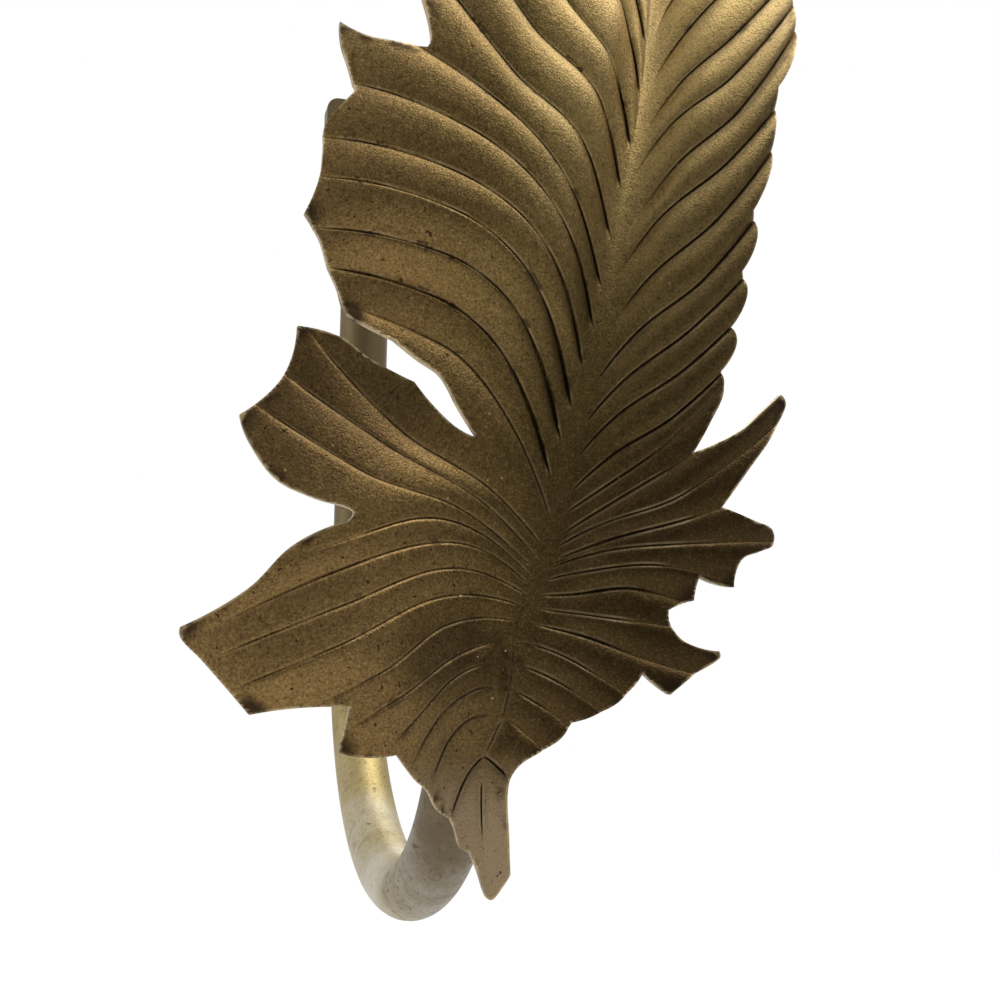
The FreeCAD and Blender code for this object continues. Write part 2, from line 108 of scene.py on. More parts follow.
# The rim from the tip down the left side, around the stem and up the right side, corner to corner
RIM = (
    ((33, 129), (22, 122.5), (14, 115.5), (9, 109.5)),
    ((9, 109.5), (4, 107.5), (-1.5, 107)),
    ((-1.5, 107), (-2.7, 101), (-3, 95.9)),
    ((-3, 95.9), (-9, 94.8), (-14.5, 94.2)),
    ((-14.5, 94.2), (-12.2, 86), (-10.8, 80.4), (-9.8, 75), (-10.3, 73.4)),
    ((-10.3, 73.4), (-15, 74), (-18, 74.7), (-21.3, 77.1)),
    ((-21.3, 77.1), (-21.2, 73.5), (-20.3, 70), (-19.4, 66.4)),
    ((-19.4, 66.4), (-21, 64.5), (-23.1, 61.7), (-23.4, 58), (-23.8, 54), (-25.5, 49.2)),
    ((-25.5, 49.2), (-23.5, 45.8), (-22.3, 42.5), (-20.9, 39.4), (-19.8, 36.4)),
    ((-19.8, 36.4), (-17, 35.1), (-13.7, 33.8)),
    ((-13.7, 33.8), (-10.5, 31.5), (-7.4, 29.6), (-5, 25.7), (-2.3, 21.9)),
    ((-2.3, 21.9), (-6, 23.5), (-11, 28.4)),
    ((-11, 28.4), (-17, 31), (-20.5, 33.3), (-26, 34.2)),
    ((-26, 34.2), (-26.7, 29.8), (-28.6, 26.2), (-32.6, 22.6)),
    ((-32.6, 22.6), (-31.4, 19.1), (-28.2, 14.6), (-23.5, 12.4), (-19.8, 11.5), (-19, 10.8), (-20.2, 9.7)),
    ((-20.2, 9.7), (-26.2, 6.7), (-31, 1.6), (-38.4, -3)),
    ((-38.4, -3), (-38.3, -4.3), (-36, -6.7), (-33.4, -9.6), (-30.4, -13)),
    ((-30.4, -13), (-25, -12.2), (-18.9, -12.1)),
    ((-18.9, -12.1), (-19.3, -14.5), (-20, -17.4)),
    ((-20, -17.4), (-16.5, -18.1), (-12.7, -17.9)),
    ((-12.7, -17.9), (-10, -21.1), (-8.2, -22.6), (-6.8, -24.9), (-4.7, -26.3)),
    ((-4.7, -26.3), (-3.9, -28), (-3.2, -29.9), (-1.8, -30.7)),
    ((-1.8, -30.7), (-0.5, -33.2), (0.9, -36.6), (1.6, -37), (2.3, -36.4), (3.8, -33.8)),
    ((3.8, -33.8), (3.4, -29), (3, -23), (4, -20), (7, -17.9), (9, -16.4), (10.4, -14.4)),
    ((10.4, -14.4), (13, -13.4), (16, -11.5), (18.8, -8)),
    ((18.8, -8), (20.4, -9.5), (22.2, -10.7)),
    ((22.2, -10.7), (25.5, -8.3), (29.5, -6), (29.4, -5.1)),
    ((29.4, -5.1), (24.5, -4), (22.7, -1.9), (22.5, 0.1)),
    ((22.5, 0.1), (24, 0.8), (26.1, 1.4)),
    ((26.1, 1.4), (26.2, 3.2), (26.6, 4.5)),
    ((26.6, 4.5), (29, 3.6), (31.8, 3.3)),
    ((31.8, 3.3), (32.5, 6.8), (35.5, 8.1), (38.1, 9.3), (37.6, 11.2), (34.8, 12.1), (29.9, 13.8)),
    ((29.9, 13.8), (33.6, 18.9), (37.4, 23.7), (39.9, 28.2), (39, 29.6)),
    ((39, 29.6), (35.9, 27), (32.5, 24.1), (26.2, 21)),
    ((26.2, 21), (28.5, 25.1), (30.6, 29.5), (30.3, 32.3)),
    ((30.3, 32.3), (32.3, 35.8), (31.9, 38.5)),
    ((31.9, 38.5), (34.1, 43), (33.6, 46.5)),
    ((33.6, 46.5), (35.9, 51.5), (35.6, 55.5)),
    ((35.6, 55.5), (38.6, 62), (40.3, 70), (41, 75.3)),
    ((41, 75.3), (44.2, 81), (46.1, 89)),
    ((46.1, 89), (45.3, 99), (42, 111), (37.5, 121.5), (33, 129)),
)
# The midrib, from the stem to the tip
SPINE = [STEM_LINE[3]] + [right[0] for left, right in reversed(VEINS)] + [TIP_LINE[0], TIP_LINE[3]]
# The stretch of the midrib, below the hub, that is chased as the veins are
CHASED_SPINE = SPINE[1:8]
SPINE_STRENGTH = 0.7

# The bar: its bow and section, and the bow's centre below the middle of the wall holes
BOW_RADIUS = 44
BAR_RADIUS = 5
HOOK_DROP = 97
# The seat at the bar's front end, where the leaf's back is filed flat: its distance from the wall, how deep
# the leaf is filed, half the filed width and its two ends, up from the bow's centre
SEAT_DEPTH = 2 * BOW_RADIUS + 2 * BAR_RADIUS
SEAT_BITE = 0.3
SEAT_HALF = 7.5
SEAT_LOW = -0.5
SEAT_HIGH = 20.5
# The flat in the middle of the leaf, and how the sheet bends away from it
FLAT_LOW = (1, 6)
FLAT_HIGH = (2, 30)
FLAT_HALF = 8.5
VALLEY_WIDTH = 10
ARCH_RADIUS = 280
DROOP_START = 18
DROOP_RADIUS = 60

# Lines and ribs are counted from the tip, and a rib has the number of the line on its tip side
LEFT, RIGHT = 0, 1
MIDDLE_ROW = 10
HUB_ROW = 14
LOW_ROW = 23
FORK_ROW = len(VEINS)
STEM_ROW = FORK_ROW + 1
LOW_RIB = 22
# How far the inner end of an upper line lies toward the next one, clear of the midrib's valley
INNER_SHIFT = 0.55
# How a line is chased: its strength, where it starts as a share of its length, and where it ends, in
# millimetres from the rim
UPPER_LEFT = (1.0, (0.075, 0.095), (0.2, 1.6))
HUB_LEFT = (0.75, (0.0, 0.05), (0.7, 3.6))
LOW_LEFT = (0.75, (0.1, 0.28), (0.7, 3.6))
UPPER_RIGHT = (1.0, (0.15, 0.42), (0.2, 1.6))
MIDDLE_RIGHT = (0.8, (0.04, 0.2), (0.2, 1.6))
HUB_RIGHT = (0.75, (0.05, 0.2), (1.5, 7.5))
FORK = (1.0, (0.0, 0.08), (0.3, 1.2))
STEM_START = (0.0, 0.05)
STEM_END = (0.5, 0.25)
# The bevelled inner end of an upper left line: its depth beside a usual line's, where it starts and ends
BEVEL_DEPTH = 2.6
BEVEL_START = (0.07, 0.13)
BEVEL_END = (0.5, 0.16)
# How high ribs are pressed, beside the usual; the left ones gain twice on the way up
FORK_BOLDNESS = 0.2
RIGHT_BOLDNESS = 1.25
HUB_RIGHT_BOLDNESS = 0.95
LOW_LEFT_BOLDNESS = 0.16
LEFT_BOLDNESS = 0.35
LEFT_GAINS = ((0.15, (-10, 5)), (0.5, (25, 85)))

# Three darker places on the leaf, as ovals in millimetres from the origin: centre, half width and half
# height. The bank and the lobe hold painted shade, the blot a dark smear
SHADED_BANK = ((-5.7, -103.1), (9.5, 7.7))
SHADED_LOBE = ((-22.7, -70.7), (18.2, 13.3))
BLOT = ((3.1, -103.8), (2.4, 7.7))

# The studio: each lamp's name, its place and width in metres and its power in watts, and what the lamps face
LAMPS = (
    ("key_light", (0.42, -0.25, 0.88), 0.9, 15.0),
    ("left_light", (-0.95, -0.1, 0.0), 0.5, 1.6),
    ("back_light", (0.2, 0.9, 0.5), 0.7, 3.0),
)
LAMP_AIM = (0, -0.08, -0.05)
FLOOR_HALF = 4.0
# The camera, fitted to the bar's outline: its place, and the directions ahead of it and to its right
CAMERA_PLACE = (-0.04395, -0.2428, -0.10066)
CAMERA_AHEAD = (0.29729, 0.94762, 0.11673)
CAMERA_RIGHT = (0.95357, -0.30087, 0.01390)
PICTURE_WIDTH = 36


class LeafSettings(bpy.types.PropertyGroup):
    """Sizes and colours of the pressed leaf"""

    sheet: FloatProperty(
        name="Sheet",
        description="Thickness of the pressed sheet",
        default=1.0 * MM,
        unit="LENGTH",
    )
    bulge: FloatProperty(
        name="Bulge",
        description="How far the halves stand in front of the midrib",
        default=6.5 * MM,
        unit="LENGTH",
    )
    crown: FloatProperty(
        name="Rib crown",
        description="Height of a rib's crown as a share of its width",
        default=0.085,
        subtype="FACTOR",
    )
    chase: FloatProperty(
        name="Chased depth",
        description="Depth of the line chased along each groove",
        default=0.24 * MM,
        unit="LENGTH",
    )
    olive: FloatVectorProperty(
        name="Olive brass",
        description="Main tone of the aged brass",
        subtype="COLOR",
        default=(0.104, 0.068, 0.0215),
    )
    # Painted light: this golden tone makes the upper right of the leaf look lit
    golden: FloatVectorProperty(
        name="Golden brass",
        description="Tone where the brass is brighter",
        subtype="COLOR",
        default=(0.72, 0.505, 0.185),
    )
    # A warmer tone, partly painted light: the lower left lobes lighter where they catch more light
    rosy: FloatVectorProperty(
        name="Rosy brass",
        description="Warmer tone of the lower lobes",
        subtype="COLOR",
        default=(0.232, 0.144, 0.055),
    )
    # Painted light: the stem's paler tone, where it catches more light
    stem: FloatVectorProperty(
        name="Stem",
        description="Paler tone of the rubbed stem",
        subtype="COLOR",
        default=(0.26, 0.19, 0.112),
    )
    # Dark tone that the grooves and tips really have, also used as painted shade on the lower right and along
    # the midrib
    patina_and_shade: FloatVectorProperty(
        name="Patina",
        description="Dark tone in grooves and at tips",
        subtype="COLOR",
        default=(0.022, 0.013, 0.007),
    )
    # Painted highlight: the pale tone of the highlights along the rim and beside the grooves
    painted_highlight: FloatVectorProperty(
        name="Worn edge",
        description="Rubbed metal along the rim",
        subtype="COLOR",
        default=(0.5, 0.39, 0.22),
    )


class ArmSettings(bpy.types.PropertyGroup):
    """Colours of the bent bar"""

    satin: FloatVectorProperty(
        name="Satin brass",
        description="Main tone of the bar",
        subtype="COLOR",
        default=(0.56, 0.535, 0.465),
    )
    golden: FloatVectorProperty(
        name="Golden brass",
        description="Warmer tone of the bar",
        subtype="COLOR",
        default=(0.345, 0.27, 0.106),
    )
    # Real tarnish, and also painted shade on the bar's front and upper ends
    tarnish_and_shade: FloatVectorProperty(
        name="Dull brass",
        description="Tarnished tone of the bar",
        subtype="COLOR",
        default=(0.12, 0.09, 0.05),
    )


class StageSettings(bpy.types.PropertyGroup):
    """Floor, light and camera"""

    floor_drop: FloatProperty(
        name="Floor drop",
        description="Floor below the holdback",
        default=0.12,
        unit="LENGTH",
    )
    floor_colour: FloatVectorProperty(
        name="Floor colour",
        description="Pale floor",
        subtype="COLOR",
        default=(0.86, 0.86, 0.86),
    )
    room_light: FloatProperty(
        name="Room light",
        description="Strength of the light from the room in front",
        default=0.2,
    )
    lens: FloatProperty(
        name="Lens",
        description="Focal length on a 36 mm picture",
        default=41.95,
        unit="CAMERA",
    )


class Value:
    """A number that varies over a surface; each operator adds a Math node"""

    def __init__(self, nodes, socket):
        self.nodes = nodes
        self.socket = socket

    def math(self, operation, first, second):
        made = self.nodes.node("ShaderNodeMath", {"operation": operation}, {0: first, 1: second})
        return Value(self.nodes, made.outputs[0])

    def __add__(self, other):
        return self.math("ADD", self, other)

    def __sub__(self, other):
        return self.math("SUBTRACT", self, other)

    def __mul__(self, other):
        return self.math("MULTIPLY", self, other)

    def __rsub__(self, other):
        return self.math("SUBTRACT", other, self)

    __radd__ = __add__
    __rmul__ = __mul__

    def most(self, other):
        """The greater of the two"""
        return self.math("MAXIMUM", self, other)

    def ramp(self, low, high):
        """0 below the first number, 1 above the second, smooth between; the two may be swapped"""
        made = self.nodes.node(
            "ShaderNodeMapRange",
            {"interpolation_type": "SMOOTHSTEP", "clamp": True},
            {"Value": self, "From Min": low, "From Max": high, "To Min": 0.0, "To Max": 1.0},
        )
        return Value(self.nodes, made.outputs["Result"])


class Nodes:
    """A node tree and the one way in which nodes are added to it"""

    def __init__(self, tree):
        self.tree = tree

    def node(self, kind, settings=None, inputs=None):
        """A new node, its settings made first and its sockets fed after them"""
        made = self.tree.nodes.new(kind)
        for key, value in (settings or {}).items():
            setattr(made, key, value)
        for key, value in (inputs or {}).items():
            self.feed(made.inputs[key], value)
        return made

    def feed(self, socket, value):
        """Links a value to a socket, or sets a number or colour on it"""
        if isinstance(value, Value):
            value = value.socket
        if isinstance(value, bpy.types.NodeSocket):
            self.tree.links.new(value, socket)
        elif hasattr(socket.default_value, "__len__") and len(socket.default_value) == 4:
            socket.default_value = (*value, 1.0)[:4]
        else:
            socket.default_value = value


class Finish(Nodes):
    """A procedural material on Object coordinates"""

    def __init__(self, name):
        self.material = bpy.data.materials.new(name)
        self.material.use_nodes = True
        super().__init__(self.material.node_tree)
        self.shader = self.tree.nodes["Principled BSDF"]
        self.place = self.node("ShaderNodeTexCoord").outputs["Object"]

    def axis(self, letter):
        made = self.node("ShaderNodeSeparateXYZ", None, {"Vector": self.place})
        return Value(self, made.outputs[letter])

    def noise(self, scale, detail=3.0, rough=0.55, stretch=None):
        place = self.place
        if stretch:
            stretched = self.node("ShaderNodeMapping", None, {"Vector": place, "Scale": stretch})
            place = stretched.outputs["Vector"]
        made = self.node(
            "ShaderNodeTexNoise",
            None,
            {"Vector": place, "Scale": scale, "Detail": detail, "Roughness": rough},
        )
        return Value(self, made.outputs["Fac"])

    def spots(self, scale):
        """Distance from the nearest of many scattered points, in units of their spacing"""
        made = self.node("ShaderNodeTexVoronoi", None, {"Vector": self.place, "Scale": scale})
        return Value(self, made.outputs["Distance"])

    def attribute(self, name):
        return Value(self, self.node("ShaderNodeAttribute", {"attribute_name": name}).outputs["Fac"])

    def oval(self, centre, reach):
        """The squared distance from the centre of an oval seen from the room, 1 on the oval itself"""
        x = (self.axis("X") - centre[0] * MM) * (1 / (reach[0] * MM))
        z = (self.axis("Z") - centre[1] * MM) * (1 / (reach[1] * MM))
        return x * x + z * z

    def mix(self, share, first, second):
        """A colour between two, at 0 the first and at 1 the second"""
        made = self.node("ShaderNodeMix", {"data_type": "RGBA"}, {"Factor": share})
        self.feed(made.inputs[6], first)
        self.feed(made.inputs[7], second)
        return made.outputs[2]

    def bump(self, height, strength, distance):
        made = self.node(
            "ShaderNodeBump", None, {"Height": height, "Strength": strength, "Distance": distance}
        )
        self.feed(self.shader.inputs["Normal"], made.outputs["Normal"])

    def set(self, **values):
        """Sets or feeds the shader's sockets, named as words joined by underscores"""
        for key, value in values.items():
            self.feed(self.shader.inputs[key.replace("_", " ").title()], value)


class AgedBrass(Finish):
    """The leaf's brass, olive to golden, dark in its grooves and at its tips, with painted light on its upper
    right, painted shade on its lower right and along its midrib, and painted highlights along the rim and
    beside the grooves
    """

    def __init__(self, settings):
        super().__init__("leaf_aged_brass")
        self.settings = settings
        self.groove = self.attribute("groove")
        self.ink = self.attribute("ink")
        self.rim = self.attribute("rim")
        self.across = self.axis("X")
        self.height = self.axis("Z")
        self.cloud = self.noise(38, 4.0)
        self.patchy = self.noise(240, 3.0)
        self.grain = self.noise(1000, 3.0, 0.6)
        self.fine = self.noise(3200, 2.0, 0.6)
        # The lower left lobes: a warmer tone, partly painted light where they catch more light
        self.low_left = (self.cloud * 0.8 - self.across * 15 - self.height * 4).ramp(0.35, 1.15)
        # Painted shade: the lower right of the leaf, which faces away from the light
        self.shaded_lower_right = (self.across * 20 - self.height * 6 + self.cloud * 0.5).ramp(0.35, 1.3)
        # Painted light: the stem made paler where it catches more light
        self.stem = (self.cloud - self.height * 90).ramp(10.8, 11.7)
        stain_and_shade = self.stain_and_shade()
        tone = self.mix(stain_and_shade * 0.95, self.ground(), settings.patina_and_shade)
        # Painted highlights beside the grooves and along the rim
        tone = self.mix(self.highlighted(), tone, settings.painted_highlight)
        self.set(base_color=tone, metallic=1.0, roughness=stain_and_shade * 0.2 + self.grain * 0.14 + 0.36)
        self.bump(self.fine * 1.1 + self.grain * 0.6 + self.patchy * 0.4, 0.5, 0.1 * MM)

    def ground(self):
        """The tones of the brass, with painted light that turns the upper right golden and painted shade that
        darkens the lower right
        """
        settings = self.settings
        height = self.height
        # Painted light: golden where the upper right of the leaf faces the light, and a little lighter all
        # along the top
        upper = (height + self.cloud * 0.02).ramp(-0.08, 0.02)
        right = self.across - height * 0.23 - 0.027
        lit = (right + self.cloud * 0.012).ramp(-0.022, 0.016) * upper
        lit = lit.most(height.ramp(-0.08, 0.02) * 0.12)
        tone = self.mix(lit, settings.olive, settings.golden)
        # A warmer tone on the lower left lobes, partly painted light where they catch more light
        tone = self.mix(self.low_left * 0.85, tone, settings.rosy)
        # Painted shade: the lower right darkened toward the dark tone
        tone = self.mix(self.shaded_lower_right * 0.7, tone, settings.patina_and_shade)
        bright = (self.grain * 0.25 + self.fine * 0.95).ramp(0.6, 0.85)
        tone = self.mix(bright * (0.2 - self.shaded_lower_right * 0.15), tone, settings.golden)
        dim = (self.grain * 0.3 + self.fine * 0.8).ramp(0.58, 0.36)
        tone = self.mix(dim * 0.5, tone, settings.patina_and_shade)
        # Painted shade in the midrib's valley, on its left bank and on the upper left lobe
        tone = self.mix(self.painted_shade(), tone, settings.patina_and_shade)
        # Painted light: the stem paler
        return self.mix(self.stem * (0.95 - dim * 0.2), tone, settings.stem)

    def painted_shade(self):
        """Painted shade: darker in the midrib's valley, on its left bank below the hub and on the upper left
        lobe
        """
        midrib = self.attribute("midrib")
        valley = midrib.ramp(4.5, 0.8) * self.height.ramp(-0.04, -0.01)
        core = midrib.ramp(1.5, 0.4) * self.height.ramp(-0.03, -0.01)
        bank = self.oval(*SHADED_BANK).ramp(1.1, 0.1)
        lobe = self.oval(*SHADED_LOBE).ramp(1.3, 0.1)
        return (valley * 0.28).most(core * 0.5).most(bank * 0.42).most(lobe * 0.5)

    def stain_and_shade(self):
        """Dark tarnish in the grooves, as chips beside them, along the rim, at tips, in pits and one blot,
        and painted shade in a soft band along the grooves
        """
        mood = (self.patchy * 1.2 + self.cloud * 0.4).ramp(0.42, 0.8)
        dark = self.groove.ramp(0.22, 0.06) * self.ink * mood
        # Painted shade: a soft dark band along each chased line
        shade = self.groove.ramp(1.3, 0.05) * self.ink * 0.25
        chips = self.groove.ramp(0.75, 0.3) * self.ink * self.noise(300, 3.0, 0.6).ramp(0.595, 0.64)
        edge = self.rim.ramp(2.2, 0.3) * (self.patchy + self.cloud * 0.7).ramp(0.9, 1.05)
        tip = (self.attribute("tip") + self.patchy * 3.0 + self.cloud * 2.0).ramp(5.6, 3.5)
        edge = edge.most(tip * (1.0 - self.stem))
        pits = self.noise(1500, 2.0, 0.4).ramp(0.69, 0.73)
        pits = pits * (self.low_left * 0.6 + self.cloud).ramp(0.5, 0.9)
        blot = self.oval(*BLOT).ramp(1.0, 0.1)
        blot = blot * (self.patchy + self.grain * 0.4).ramp(0.62, 0.82)
        return dark.most(edge * 0.9).most(pits * 0.9).most(shade).most(blot * 0.8).most(chips * 0.9)

    def highlighted(self):
        """Painted highlights: pale edges beside the grooves, glints on the shaded right, a bright line along
        the rim, and fine bright specks
        """
        # Painted highlight: a pale edge beside each groove
        burr_highlight = self.groove.ramp(0.12, 0.2) * self.groove.ramp(0.42, 0.25) * self.ink.ramp(0.6, 0.95)
        burr_highlight = burr_highlight * (self.patchy + self.grain * 0.3).ramp(0.5, 0.8)
        glint = self.groove.ramp(0.1, 0.2) * self.groove.ramp(0.55, 0.3) * self.ink.ramp(0.25, 0.7)
        glint = glint * self.shaded_lower_right * (self.patchy * 0.6 + self.cloud * 0.7).ramp(0.4, 0.8)
        line = self.rim.ramp(0.42, 0.08) * (self.patchy * 0.9 + self.grain * 0.3).ramp(0.4, 0.66)
        speck = self.spots(520).ramp(0.1, 0.05) * self.grain.ramp(0.56, 0.62)
        return (burr_highlight * 0.2).most(glint * 0.24).most(line * 0.8).most(speck * 0.8)


class SatinBrass(Finish):
    """The bar's brass, pale in the bow, golden on the wall leg, with painted shade on its front and at both
    upper ends, finely specked
    """

    def __init__(self, settings):
        super().__init__("arm_satin_brass")
        cloud = self.noise(45, 4.0)
        patchy = self.noise(260, 3.0)
        fine = self.noise(2200, 2.0, 0.6)
        brushed = self.noise(60, 3.0, 0.6, stretch=(18, 18, 1.2))
        height = self.axis("Z")
        depth = self.axis("Y")
        warm = (cloud + height * 5 + depth * 4 + 0.9).ramp(0.2, 0.8)
        tone = self.mix(warm, settings.satin, settings.golden)
        # Painted shade and reflection: the front of the bar, under the leaf and facing the dark room,
        # darkened
        front = (cloud * 0.5 - depth * 14 + height * 3).ramp(0.5, 1.15)
        tone = self.mix(front * 0.93, tone, settings.tarnish_and_shade)
        # Painted shade: both upper ends of the bar, at the wall and under the leaf, darkened
        upper = (height * 16 + cloud * 0.8 + 1.9).ramp(0.2, 0.9)
        tone = self.mix(upper * 0.9, tone, settings.tarnish_and_shade)
        specks = self.noise(1300, 3.0, 0.6).ramp(0.6, 0.66)
        specks = specks * (cloud + patchy * 0.3 + front * 0.15).ramp(0.62, 0.8)
        marks = self.noise(110, 4.0, 0.7, stretch=(1, 1, 3)).ramp(0.66, 0.72)
        spots = specks.most(marks * 0.9)
        tone = self.mix(spots * 0.8, tone, settings.tarnish_and_shade)
        smudge = (self.noise(200, 5.0, 0.75) + front * 0.16).ramp(0.55, 0.75)
        tone = self.mix(smudge * 0.7, tone, settings.tarnish_and_shade)
        lines = brushed.ramp(0.45, 0.75) * 0.25 + fine.ramp(0.45, 0.7) * 0.3
        tone = self.mix(lines, tone, settings.tarnish_and_shade)
        self.set(base_color=tone, metallic=1.0, roughness=patchy * 0.16 + spots * 0.2 + 0.45)
        self.bump(fine * 0.5 + brushed * 0.5 + patchy * 0.7, 0.3, 0.1 * MM)


def away(x, z, a, b):
    """Distance of a drawn point from a straight stretch"""
    dx = b[0] - a[0]
    dz = b[1] - a[1]
    t = ((x - a[0]) * dx + (z - a[1]) * dz) / (dx * dx + dz * dz)
    t = min(1.0, max(0.0, t))
    return hypot(x - a[0] - t * dx, z - a[1] - t * dz)


def from_midrib(x, z):
    """Distance of a drawn point from the midrib"""
    return min(away(x, z, a, b) for a, b in zip(SPINE[:-1], SPINE[1:]))


def stand(x, z, settings):
    """How far the front of the sheet stands from the wall at a drawn point"""
    rib = from_midrib(x, z)
    flat = max(0.0, away(x, z, FLAT_LOW, FLAT_HIGH) - FLAT_HALF)
    rise = settings.bulge / MM * (1 - exp(-((min(rib, flat) / VALLEY_WIDTH) ** 2)))
    bend = max(0.0, z - FLAT_HIGH[1], -z) ** 2 / (2 * ARCH_RADIUS)
    droop = max(0.0, rib - DROOP_START) ** 2 / (2 * DROOP_RADIUS)
    return SEAT_DEPTH - SEAT_BITE + settings.sheet / MM + rise - bend - droop


def placed(x, z, y):
    """A drawn point in its place, at a given distance from the wall"""
    return Vector((x, -y, z - HOOK_DROP)) * MM


def run_through(points, steps=None):
    """Points on one smooth curve through the drawn points, all but the last one"""
    spacing = 0.7
    points = [Vector(p) for p in points]
    slopes = []
    for i in range(len(points)):
        before = points[max(0, i - 1)]
        after = points[min(len(points) - 1, i + 1)]
        slopes.append((after - before).normalized())
    slopes[0] = (2 * (points[1] - points[0]).normalized() - slopes[1]).normalized()
    slopes[-1] = (2 * (points[-1] - points[-2]).normalized() - slopes[-2]).normalized()
    run = []
    for i in range(len(points) - 1):
        reach = (points[i + 1] - points[i]).length / 3
        near = points[i] + slopes[i] * reach
        far = points[i + 1] - slopes[i + 1] * reach
        count = steps or max(3, round(reach * 3 / spacing))
        run.extend(interpolate_bezier(points[i], near, far, points[i + 1], count + 1)[:-1])
    return run


def new_object(name, build):
    """An object at the origin with the built mesh"""
    mesh = bpy.data.meshes.new(name)
    build.to_mesh(mesh)
    build.free()
    made = bpy.data.objects.new(name, mesh)
    bpy.context.scene.collection.objects.link(made)
    return made


def smooth(value, low, high):
    """0 below the first number, 1 above the second, smooth between; the two may be swapped"""
    t = min(1.0, max(0.0, (value - low) / (high - low)))
    return t * t * (3 - 2 * t)


def nearest(points):
    """A tree that finds the nearest of some drawn points"""
    tree = KDTree(len(points))
    for i, p in enumerate(points):
        tree.insert((p[0], p[1], 0), i)
    tree.balance()
    return tree


def chasing(side, row):
    """How a line is chased: its strength, where it starts and where it ends"""
    if row == FORK_ROW:
        return FORK
    if side == LEFT and row < HUB_ROW:
        return UPPER_LEFT
    if side == LEFT:
        return HUB_LEFT if row < LOW_ROW else LOW_LEFT
    if row < MIDDLE_ROW:
        return UPPER_RIGHT
    return MIDDLE_RIGHT if row < HUB_ROW else HUB_RIGHT


def chased(side, row, share, edge):
    """How strongly a line is chased at a share of its length and a distance from the rim, from 0 to 1"""
    if row == STEM_ROW:
        return smooth(share, *STEM_START) * smooth(share, *STEM_END)
    strength, start, end = chasing(side, row)
    return strength * smooth(share, *start) * smooth(edge, *end)


def drawn(side):
    """Every line of one half, from the tip to the stem"""
    return [TIP_LINE] + [pair[side] for pair in VEINS] + [STEM_LINE]


def vein_stand(line, count, settings):
    """How far a vein stands from the wall along its length, on the cubic that the solid has"""
    a, b, c, d = [stand(x, z, settings) for x, z in line]
    # The inner poles of the cubic through four points a third apart, neither behind both ends
    second = max((18 * b - 5 * a - 9 * c + 2 * d) / 6, min(a, d))
    third = max((2 * a - 9 * b + 18 * c - 5 * d) / 6, min(a, d))
    run = []
    for i in range(count + 1):
        u = i / count
        v = 1 - u
        run.append(v**3 * a + 3 * v * v * u * second + 3 * v * u * u * third + u**3 * d)
    return run


def veins(side, rim, steps):
    """Every vein of one half: its drawn points and how strongly each is chased"""
    rows = []
    lines = drawn(side)
    for row, line in enumerate(lines):
        if 0 < row < HUB_ROW:
            line = (Vector(line[0]).lerp(Vector(lines[row + 1][0]), INNER_SHIFT), *line[1:])
        points = run_through(line, steps) + [Vector(line[-1])]
        last = len(points) - 1
        edges = [rim.find((p.x, p.y, 0))[2] for p in points]
        rows.append((points, [chased(side, row, i / last, edge) for i, edge in enumerate(edges)]))
    return rows


def boldness(side, row, z):
    """How high a rib is pressed, beside the usual"""
    if row == FORK_ROW:
        return FORK_BOLDNESS
    if side == RIGHT:
        return HUB_RIGHT_BOLDNESS if HUB_ROW <= row < LOW_RIB else RIGHT_BOLDNESS
    if row >= LOW_RIB:
        return LOW_LEFT_BOLDNESS
    return LEFT_BOLDNESS + sum(gain * smooth(z, *reach) for gain, reach in LEFT_GAINS)


def bevelled(side, row, share):
    """How much deeper the inner end of an upper left vein is cut, its left bank sloping down to it"""
    if side == RIGHT or row >= HUB_ROW:
        return 0.0
    return BEVEL_DEPTH * smooth(share, *BEVEL_START) * smooth(share, *BEVEL_END)


def rib_sheet(settings, rim):
    """All ribs of both halves, welded to one open sheet"""
    steps = 16
    along = 3 * steps
    across = 18
    groove_half = 0.17
    bevel_reach = 1.1
    crown_skew = 0.84
    crown_round = 2.1
    rib_start = ((0.0, 0.24), (0.05, 0.42))
    valley_reach = (1, 8)
    weld = 0.02 * MM
    chase = settings.chase / MM
    build = bmesh.new()
    for side in (LEFT, RIGHT):
        rows = veins(side, rim, steps)
        stands = [vein_stand(line, along, settings) for line in drawn(side)]
        for row in range(len(rows) - 1):
            first, ink = rows[row]
            second, next_ink = rows[row + 1]
            made = bmesh.ops.create_grid(build, x_segments=along, y_segments=across, size=1.0)
            for v in made["verts"]:
                i = round((v.co.x + 1) / 2 * along)
                t = (1 - cos((v.co.y + 1) / 2 * pi)) / 2
                share = i / along
                wide = (second[i] - first[i]).length
                x, z = first[i].lerp(second[i], t)
                rise = smooth(share, *rib_start[side]) * boldness(side, row, z)
                crown = settings.crown * wide * rise * (1 - abs(2 * t**crown_skew - 1) ** crown_round)
                bevel = bevelled(side, row, share) * exp(-t * wide / bevel_reach)
                bank = max(exp(-((t * wide / groove_half) ** 2)), bevel)
                step = exp(-(((1 - t) * wide / groove_half) ** 2))
                step *= max(1.0, bevelled(side, row + 1, share))
                cut = max(ink[i] * bank, next_ink[i] * step)
                solid = stands[row][i] + (stands[row + 1][i] - stands[row][i]) * t
                valley = stand(x, z, settings)
                sheet = valley + (solid - valley) * smooth(from_midrib(x, z), *valley_reach)
                v.co = placed(x, z, sheet + crown - chase * cut)
    bmesh.ops.remove_doubles(build, verts=build.verts, dist=weld)
    bmesh.ops.recalc_face_normals(build, faces=build.faces)
    if sum(f.normal.y for f in build.faces) > 0:
        bmesh.ops.reverse_faces(build, faces=build.faces)
    return build


